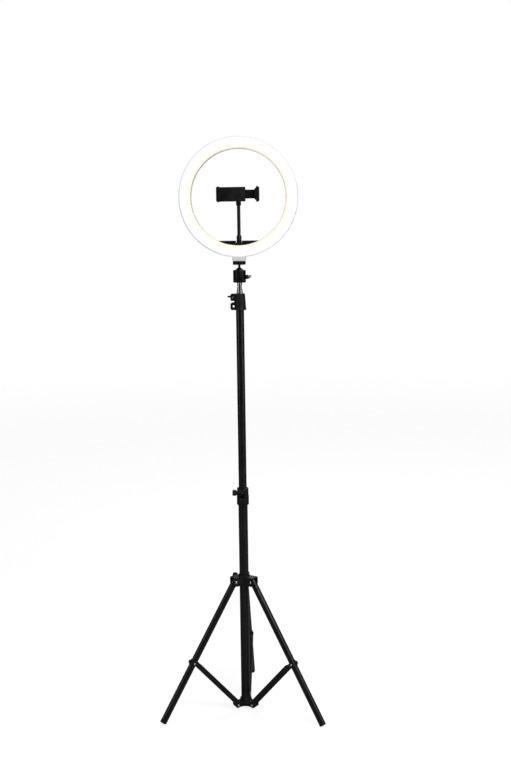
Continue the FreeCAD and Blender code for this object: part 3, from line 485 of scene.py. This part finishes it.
def slab(name, size, centre, taper=(1, 1), edge=0.0):
    """A block of a size in mm. Taper draws in both ends of its X, and edge rolls over its edges."""
    bpy.ops.object.select_all(action="DESELECT")
    bpy.ops.mesh.primitive_cube_add(size=MM, location=Vector(centre) * MM, scale=size)
    piece = bpy.context.object
    piece.name = name
    only(piece)
    bpy.ops.object.transform_apply(location=True, rotation=True, scale=True)
    pick(piece, lambda face: abs(face.normal.x) > 0.9, faces=True)
    bpy.ops.transform.resize(value=(1, *taper), center_override=Vector(centre) * MM)
    if edge:
        bpy.ops.mesh.select_all(action="SELECT")
        bpy.ops.mesh.bevel(offset=edge * MM, segments=4, profile=0.5)
    bpy.ops.object.mode_set(mode="OBJECT")
    return piece


def joined(name, pieces):
    """Several pieces as one object."""
    only(pieces[0])
    for piece in pieces:
        piece.select_set(True)
    bpy.ops.object.join()
    whole = bpy.context.object
    whole.name = name
    return whole


def copied(piece):
    """A second piece with a mesh of its own."""
    only(piece)
    bpy.ops.object.duplicate()
    return bpy.context.object


def facing(axis, side):
    """The turn that lays a piece's own Z along an axis and its own X along a second one."""
    axis, side = Vector(axis).normalized(), Vector(side).normalized()
    return Matrix((side, axis.cross(side), axis)).transposed().to_quaternion()


def set_down(piece, at, turn):
    """Turns a piece and moves it to a place in mm, then fixes both in its mesh."""
    only(piece)
    bpy.ops.object.transform_apply(location=True, rotation=True, scale=True)
    piece.rotation_mode = "QUATERNION"
    piece.rotation_quaternion = turn
    piece.location = Vector(at) * MM
    bpy.ops.object.transform_apply(location=True, rotation=True, scale=True)


def moulded(piece, voxel, rounds):
    """Melts joined solids into one skin and rolls over its edges. The voxel is in mm."""
    shape_with(piece, "REMESH", mode="VOXEL", voxel_size=voxel * MM)
    shape_with(piece, "SMOOTH", factor=0.5, iterations=rounds)


def complete(piece, body, slot, *nodes, angle=35):
    """Gives a piece its shading, finish and body, and hides the designed parts that it stands for."""
    only(piece)
    bpy.ops.object.shade_smooth_by_angle(angle=math.radians(angle))
    piece.data.materials.clear()
    piece.data.materials.append(MATERIALS[slot])
    if body:
        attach(piece, body)
    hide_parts(*nodes)


def middle(node):
    """The middle of a designed part's box, in mm."""
    low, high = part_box(node)
    return (low + high) / 2 / MM


def bearing(degrees, radius=1.0, height=0.0):
    """A point, or a direction, at an angle about the column."""
    turn = math.radians(degrees)
    return Vector((radius * math.cos(turn), radius * math.sin(turn), height))


# ---- knobs ---------------------------------------------------------------------------------------


def wing_knob(name, body, node, at, axis, wings_along):
    """A moulded knob with two wings, and a shallow dish in its end."""
    hub = turned(name, [(4.3, 0), (4.7, 0.4), (4.7, 4.6), (5.3, 5.1), (6.3, 5.5), (6.7, 6.1), (6.7, 12.8),
                        (6.3, 13.5), (5.5, 13.8), (4.7, 13.8), (4.3, 13.2), (2.0, 12.9)])
    wings = slab("wings", (26.9, 3.9, 6.5), (0, 0, 9.9), taper=(0.94, 0.9), edge=1.0)
    knob = joined(name, [hub, wings])
    moulded(knob, voxel=0.36, rounds=2)
    set_down(knob, at, facing(axis, wings_along))
    complete(knob, body, "knob_plastic", node, angle=60)


def hub_knob():
    """The small fluted knob that locks the leg hub on the column."""
    segments, flutes, round_within = 64, 8, 5.1
    grip = turned("fluted_lock_knob", [(5.2, 20.0), (6.3, 20.8), (6.3, 27.4), (5.9, 28.3), (5.0, 28.9),
                                       (3.4, 29.0), (3.0, 28.5), (1.2, 28.4)], segments=segments)
    spacing = segments // flutes

    def step_of(vertex):
        """How many segments a vertex stands past the bottom of its flute."""
        return round(math.atan2(vertex.co.y, vertex.co.x) / (2 * math.pi / segments)) % spacing

    for step, pull in ((0, 0.86), (1, 0.9), (spacing - 1, 0.9)):
        pick(grip, lambda vertex: vertex.co.xy.length > round_within * MM and step_of(vertex) == step)
        bpy.ops.transform.resize(value=(pull, pull, 1), center_override=(0, 0, 0))
        bpy.ops.object.mode_set(mode="OBJECT")
    shape_with(grip, "SUBSURF", levels=1, render_levels=1)
    set_down(grip, HUB_KNOB_PLACE, facing(bearing(HUB_KNOB_BEARING), UP))
    complete(grip, "hub_knob", "knob_plastic", "leg_hub_knob", angle=60)


def ball_lock_knob():
    """The paddle that clamps the ball: a round boss run into a rounded blade."""
    boss = turned("ball_lock_paddle", [(4.3, 14.4), (4.8, 14.9), (4.8, 19.4), (4.1, 20.6), (2.0, 20.9)])
    blade = slab("blade", (14.9, 3.3, 10.2), (0, 0, 21.95), taper=(0.8, 0.78), edge=1.2)
    knob = joined("ball_lock_paddle", [boss, blade])
    moulded(knob, voxel=0.32, rounds=4)
    along = bearing(LOCK_BEARING)
    rolled = Quaternion(along, math.radians(LOCK_ROLL)) @ bearing(LOCK_BEARING + 90)
    set_down(knob, LOCK_PLACE, facing(along, rolled))
    complete(knob, "ball_lock", "knob_plastic", "ball_knob", angle=60)


wing_knob("mid_wing_knob", "mid_knob", "mid_knob", MID_KNOB_PLACE, axis=(-1, 0, 0), wings_along=(0, 1, 0))
wing_knob("top_wing_knob", "top_knob", "top_knob", TOP_KNOB_PLACE, axis=(0, 1, 0), wings_along=(1, 0, 0))
hub_knob()
ball_lock_knob()

# ---- rivets, pins, screws and nuts ---------------------------------------------------------------

DOME_HEIGHT = 1.2


def dome(radius, base):
    """The steps of a domed rivet head, from its rim to its crown."""
    angles = [math.radians(degrees) for degrees in (0, 15, 30, 45, 60, 75, 85)]
    return [(radius * math.cos(angle), base + DOME_HEIGHT * math.sin(angle)) for angle in angles]


def headed_pins(name, body, node, pivot, shank, head, reach):
    """Three pins, one a leg, each peened into a dome at both ends."""
    top = dome(head, reach)
    bottom = [(radius, -height) for radius, height in reversed(top)]
    pins = []
    for degrees in LEG_BEARINGS.values():
        pin = turned("pin", bottom + [(shank, -reach), (shank, reach)] + top, segments=32)
        set_down(pin, bearing(degrees, *pivot), facing(bearing(degrees + 90), UP))
        pins.append(pin)
    complete(joined(name, pins), body, "bright_rivet", node)


def brace_rivets(leg, degrees):
    """The two short rivets that hold a brace to the clip on its leg."""
    shank, head, inside, outside = 1.6, 2.5, 9.05, 10.15
    halves = []
    for side in (-1, 1):
        half = turned("rivet", [(shank, inside), (shank, outside)] + dome(head, outside), segments=32)
        set_down(half, bearing(degrees, *BRACE_PIVOT), facing(side * bearing(degrees + 90), UP))
        halves.append(half)
    complete(joined(f"domed_rivets_{leg}", halves), f"brace_{leg}", "bright_rivet", f"brace_rivets_{leg}")


def shell_screws():
    """Six cross-recessed pan heads on the back of the ring, each cross left at an angle of its own."""
    screw = turned("pan_head", [(1.45, -12.0), (1.45, 0), (2.75, 0), (2.75, 0.35), (2.65, 0.75),
                                (2.35, 1.1), (1.8, 1.32), (0.9, 1.4)], segments=32)
    for turn in (0, math.pi / 2):
        slot_cutter = slab("cutter", (2.9, 0.55, 1.6), (0, 0, 1.35), taper=(0.6, 1))
        slot_cutter.rotation_euler.z = turn
        only(slot_cutter)
        bpy.ops.object.transform_apply(location=True, rotation=True, scale=True)
        shape_with(screw, "BOOLEAN", operation="DIFFERENCE", object=slot_cutter, solver="EXACT")
        bpy.data.objects.remove(slot_cutter)
    screws = []
    for number in range(SCREW_COUNT):
        angle = math.radians(SCREW_START + 360 / SCREW_COUNT * number)
        one = copied(screw)
        reach = Vector((math.cos(angle), 0, math.sin(angle))) * SCREW_CIRCLE
        at = RING_CENTRE + reach + Vector((0, RING_HALF_DEPTH, 0))
        cross = (math.cos(angle * 3), 0, math.sin(angle * 3))
        set_down(one, at / MM, facing((0, 1, 0), cross))
        screws.append(one)
    bpy.data.objects.remove(screw)
    complete(joined("pan_head_screws", screws), "ring", "zinc_steel", "ring_screws")


def hexagon_nut(name, body, node, axis):
    """A hexagon nut with its corners turned off, in the pocket of a collar's lug."""
    nut = turned(name, [(4.0, -1.95), (4.55, -1.6), (4.55, 1.6), (4.0, 1.95), (2.9, 1.95), (2.6, 1.6),
                        (2.55, 0.8)], segments=6)
    set_down(nut, middle(node), facing(axis, UP))
    complete(nut, body, SLOT_OF[node], node)


headed_pins("hub_pins", "leg_hub", "leg_hub_pins", LEG_PIVOT, shank=2.0, head=3.0, reach=10.3)
headed_pins("foot_hub_pins", "stand", "spreader_pins", SPREADER_PIVOT, shank=1.6, head=2.5, reach=10.45)
for leg_name, leg_bearing in LEG_BEARINGS.items():
    brace_rivets(leg_name, leg_bearing)
shell_screws()
hexagon_nut("mid_hexagon_nut", "stand", "mid_clamp_nut", (1, 0, 0))
hexagon_nut("top_hexagon_nut", "middle_section", "top_clamp_nut", (0, -1, 0))

# ---- ball head and telephone holder --------------------------------------------------------------


def ball_and_stem():
    """A ground ball with its stem, turned from one piece."""
    steps = []
    for degrees in range(-84, 76, 6):
        angle = math.radians(degrees)
        steps.append((BALL_RADIUS * math.cos(angle), BALL_RADIUS * math.sin(angle)))
    fillet, stem_top = 0.1, 20.2
    steps += [(STEM_RADIUS + fillet, 9.15), (STEM_RADIUS, BALL_RADIUS), (STEM_RADIUS, stem_top)]
    ball = turned("ball_with_stem", steps, segments=64)
    set_down(ball, BALL_PLACE, Quaternion())
    complete(ball, "ball", "polished_ball", "ball_stud")


def ribbed_gooseneck():
    """A corrugated sleeve over the bending arm of the telephone holder."""
    pitch, crest, root, end = 2.5, 4.0, 3.45, 3.6
    slope, flat = 0.45, 1.0
    steps = [(end, HOSE_LOW)]
    rib = HOSE_LOW + 1
    while rib < HOSE_HIGH - pitch:
        steps += [(root, rib), (crest, rib + slope), (crest, rib + slope + flat),
                  (root, rib + 2 * slope + flat)]
        rib += pitch
    sleeve = turned("ribbed_gooseneck", steps + [(end, HOSE_HIGH)], segments=32)
    set_down(sleeve, HOSE_AXIS, Quaternion())
    complete(sleeve, None, "hose", "gooseneck", angle=60)
    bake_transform(sleeve)


def jaw_pad(name, body, node):
    """A rubber pad with level ribs that bite on the edge of the telephone."""
    low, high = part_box(node)
    size, centre = (high - low) / MM, middle(node)
    inner = -1 if centre.x > 0 else 1
    backing, setback, ribs, rib_height = 0.9, 0.3, 8, 0.6
    pad = slab(name, (backing, size.y, size.z), (centre.x - inner * setback, centre.y, centre.z))
    band = (high.z - low.z) / (2 * ribs + 1)
    for number in range(1, 2 * ribs + 1):
        only(pad)
        bpy.ops.object.mode_set(mode="EDIT")
        bpy.ops.mesh.select_all(action="SELECT")
        height = low.z + band * number
        bpy.ops.mesh.bisect(plane_co=(centre.x * MM, centre.y * MM, height), plane_no=(0, 0, 1))
        bpy.ops.object.mode_set(mode="OBJECT")

    def is_rib(face):
        """Every second band of the side that faces the telephone."""
        return face.normal.x * inner > 0.9 and int((face.center.z - low.z) / band) % 2 == 1

    pick(pad, is_rib, faces=True)
    bpy.ops.mesh.extrude_region_move(TRANSFORM_OT_translate={"value": (inner * rib_height * MM, 0, 0)})
    bpy.ops.transform.resize(value=(1, 0.9, 1), center_override=centre * MM)
    bpy.ops.object.mode_set(mode="OBJECT")
    shape_with(pad, "BEVEL", width=0.15 * MM, segments=2, limit_method="ANGLE")
    outward(pad)
    complete(pad, body, "black_rubber", node)


def jaw_springs():
    """Two tension springs that pull the sliding jaw in."""
    low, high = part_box("clip_springs")
    length = (high.x - low.x) / MM
    wire, coil_radius, pitch, steps = 0.25, 1.2, 0.85, 14
    turns = int((length - 2 * wire) / pitch)
    springs = []
    inset = 1.5
    for height in (low.z / MM + inset, high.z / MM - inset):
        bpy.ops.object.select_all(action="DESELECT")
        bpy.ops.mesh.primitive_circle_add(vertices=8, radius=wire * MM, fill_type="NOTHING",
                                          location=(coil_radius * MM, 0, 0), rotation=(math.pi / 2, 0, 0))
        spring = bpy.context.object
        only(spring)
        bpy.ops.object.transform_apply(location=True, rotation=True, scale=True)
        shape_with(spring, "SCREW", angle=2 * math.pi, screw_offset=pitch * MM, iterations=turns,
                   steps=steps, render_steps=steps, axis="Z")
        only(spring)
        bpy.ops.object.mode_set(mode="EDIT")
        bpy.ops.mesh.select_all(action="SELECT")
        bpy.ops.mesh.region_to_loop()
        bpy.ops.mesh.edge_face_add()
        bpy.ops.object.mode_set(mode="OBJECT")
        outward(spring)
        set_down(spring, (low.x / MM + wire, (low.y + high.y) / 2 / MM, height), facing((1, 0, 0), UP))
        springs.append(spring)
    whole = joined("jaw_tension_springs", springs)
    complete(whole, None, "zinc_steel", "clip_springs", angle=60)
    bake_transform(whole)


ball_and_stem()
ribbed_gooseneck()
jaw_pad("fixed_jaw_pad", "clip", "jaw_pad_fixed")
jaw_pad("moving_jaw_pad", "clip_jaw", "jaw_pad_moving")
jaw_springs()

# ---- mouldings and pressings ---------------------------------------------------------------------


def copy_of_design(node):
    """A loose copy of a designed part, and the body that it rides on."""
    source = frame["nodes"][node]
    body = source["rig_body"]
    piece = copied(source)
    piece.parent = None
    piece.name = f"{node}_finished"
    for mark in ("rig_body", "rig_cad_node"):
        del piece[mark]
    only(piece)
    bpy.ops.object.mode_set(mode="EDIT")
    bpy.ops.mesh.select_all(action="SELECT")
    bpy.ops.mesh.remove_doubles(threshold=WELD)
    bpy.ops.mesh.dissolve_limited(angle_limit=math.radians(FLAT))
    bpy.ops.object.mode_set(mode="OBJECT")
    return piece, body


def recast(node, voxel, rounds):
    """The designed part with the soft edges and fillets of a thick moulding."""
    piece, body = copy_of_design(node)
    moulded(piece, voxel, rounds)
    complete(piece, body, SLOT_OF[node], node, angle=60)


def softened(node, width):
    """The designed part with the small radius that its mould or press leaves on every edge."""
    piece, body = copy_of_design(node)
    shape_with(piece, "BEVEL", width=width * MM, segments=2, limit_method="ANGLE",
               angle_limit=math.radians(40), use_clamp_overlap=False)
    complete(piece, body, SLOT_OF[node], node, angle=20)


for node_name in ("mid_collar", "top_collar"):
    recast(node_name, voxel=0.38, rounds=3)
EDGE_WIDTHS = {
    "leg_hub": 0.6, "spreader_hub": 0.6, "ball_housing": 0.4, "head_platform": 0.4, "clip_body": 0.5,
    "clip_jaw": 0.5, "holder_platform": 0.3, "holder_ferrule": 0.3, "holder_swivel": 0.4,
}
for node_name, edge_width in EDGE_WIDTHS.items():
    softened(node_name, edge_width)
for leg_name in LEG_BEARINGS:
    softened(f"brace_{leg_name}", 0.25)
    softened(f"leg_clip_{leg_name}", 0.25)
    softened(f"foot_cap_{leg_name}", 0.6)

# ---- stage and light -----------------------------------------------------------------------------

FLOOR_RADIUS = 6
FLOOR_GLOW = 0.86
FADE_FROM = 1.2
FADE_TO = 5.5
REFLECTED_WORLD = 0.06


def add_floor():
    """A plain pale floor, lit up for the camera and thinning out into the backdrop, so that no edge shows."""
    bpy.ops.object.select_all(action="DESELECT")
    bpy.ops.mesh.primitive_circle_add(vertices=96, radius=FLOOR_RADIUS, fill_type="NGON")
    floor = bpy.context.object
    floor.name = "studio_floor"
    made, tree, shader, place = new_material("pale_paper", Roughness=0.9, Base_Color=colour("#8C8C8C"),
                                             Emission_Color=colour("#FFFFFF"))
    path = add(tree, "ShaderNodeLightPath")
    glow = add(tree, "ShaderNodeMath", {1: FLOOR_GLOW}, {0: path.outputs["Is Camera Ray"]},
               operation="MULTIPLY")
    reach = add(tree, "ShaderNodeVectorMath", links={0: place}, operation="LENGTH")
    fade = add(tree, "ShaderNodeMapRange",
               {"From Min": FADE_FROM, "From Max": FADE_TO, "To Min": 1.0, "To Max": 0.0},
               {"Value": reach.outputs["Value"]})
    feed(tree, shader, Alpha=fade.outputs["Result"], Emission_Strength=glow.outputs["Value"])
    floor.data.materials.append(made)


def add_light(name, place, aim_height, width, height, power):
    """A soft panel that faces a point on the column."""
    data = bpy.data.lights.new(name, "AREA")
    data.shape = "RECTANGLE"
    data.size = width
    data.size_y = height
    data.energy = power
    light = bpy.data.objects.new(name, data)
    bpy.context.scene.collection.objects.link(light)
    light.location = place
    light.rotation_mode = "QUATERNION"
    light.rotation_quaternion = (Vector(place) - Vector((0, 0, aim_height))).to_track_quat("Z", "Y")


def add_world():
    """A white backdrop for the camera, and a much dimmer one that lights and is reflected by the parts."""
    world = bpy.data.worlds.new("studio")
    bpy.context.scene.world = world
    world.use_nodes = True
    tree = world.node_tree
    tree.nodes.clear()
    seen = add(tree, "ShaderNodeBackground", {"Color": colour("#FFFFFF"), "Strength": 1.0})
    fill = add(tree, "ShaderNodeBackground", {"Color": colour("#FFFFFF"), "Strength": REFLECTED_WORLD})
    path = add(tree, "ShaderNodeLightPath")
    mix = add(tree, "ShaderNodeMixShader",
              links={0: path.outputs["Is Camera Ray"], 1: fill.outputs["Background"],
                     2: seen.outputs["Background"]})
    output = add(tree, "ShaderNodeOutputWorld")
    tree.links.new(mix.outputs["Shader"], output.inputs["Surface"])


add_floor()
add_world()
add_light("key_high", (1.5, -2.1, 2.9), aim_height=0.75, width=1.4, height=1.4, power=66)
add_light("strip_left", (-2.3, -1.6, 1.2), aim_height=0.7, width=0.35, height=1.8, power=7)
add_light("strip_right", (1.9, -1.0, 1.2), aim_height=0.7, width=0.25, height=1.8, power=6)
add_light("back_soft", (0.4, 2.3, 2.6), aim_height=0.7, width=1.4, height=1.2, power=34)
bpy.context.scene.view_settings.view_transform = "Standard"
